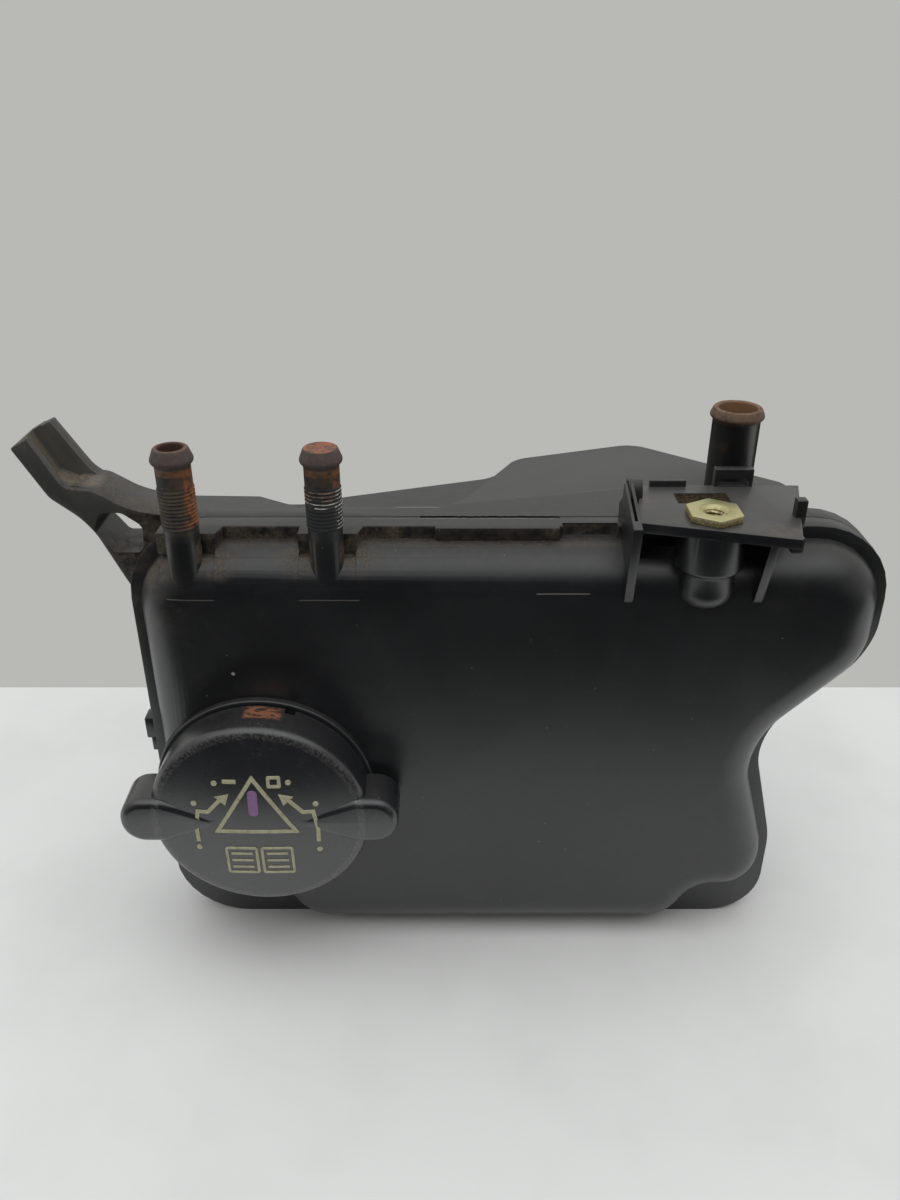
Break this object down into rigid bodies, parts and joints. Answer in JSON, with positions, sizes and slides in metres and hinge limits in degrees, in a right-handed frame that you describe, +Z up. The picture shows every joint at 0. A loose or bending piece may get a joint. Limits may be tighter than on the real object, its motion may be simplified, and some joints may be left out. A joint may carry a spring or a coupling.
{
  "type": "coolant expansion tank",
  "caption": "Flat moulded coolant expansion tank with a welded flange, hose spigots, a threaded insert bracket, a fork arm and a quarter-turn pressure cap.",
  "frame": {"origin": "under the front face of the weld flange, on the foot, in the middle of the tank's length", "axes": "+X to the right seen from the cap side, +Y away from the cap side, +Z up"},
  "size_m": [0.2342, 0.0904, 0.1635],
  "materials": {
    "shell_plastic": "satin black moulded plastic with fine grain and dust",
    "cap_plastic": "fine-grained matt black moulded plastic",
    "seal_rubber": "smooth matt rubber",
    "valve_steel": "plain bright steel",
    "spring_steel": "drawn spring wire",
    "zinc_plate": "yellow zinc plating, dulled"
  },
  "bodies": {
    "tank": {"front_shell": "shell_plastic", "rear_shell": "shell_plastic", "threaded_insert": "zinc_plate"},
    "cap_body": {"cap_core": "cap_plastic", "front_seal_ring": "seal_rubber", "rear_seal_ring": "seal_rubber", "valve_seat": "cap_plastic", "pressure_spring": "spring_steel"},
    "cap": {"cap_cover": "cap_plastic"},
    "pressure_stage": {"pressure_valve": "valve_steel", "pressure_seal": "seal_rubber", "vacuum_spring": "spring_steel"},
    "vacuum_stage": {"vacuum_valve": "valve_steel", "vacuum_clip": "spring_steel"}
  },
  "joints": [
    {"name": "cap_lift", "type": "slide", "parent": "tank", "child": "cap_body", "axis": [0, -1, 0], "range_m": [0, 0.045]},
    {"name": "cap_turn", "type": "hinge", "parent": "cap_body", "child": "cap", "pos_m": [-0.068, 0, 0.0615], "axis": [0, 1, 0], "range_deg": [0, 90]},
    {"name": "pressure_lift", "type": "slide", "parent": "cap_body", "child": "pressure_stage", "axis": [0, -1, 0], "range_m": [0, 0.002], "stiffness_N_per_m": 4000, "deforming": ["pressure_spring"]},
    {"name": "vacuum_open", "type": "slide", "parent": "pressure_stage", "child": "vacuum_stage", "axis": [0, 1, 0], "range_m": [0, 0.0012], "stiffness_N_per_m": 200, "deforming": ["vacuum_spring"]}
  ]
}
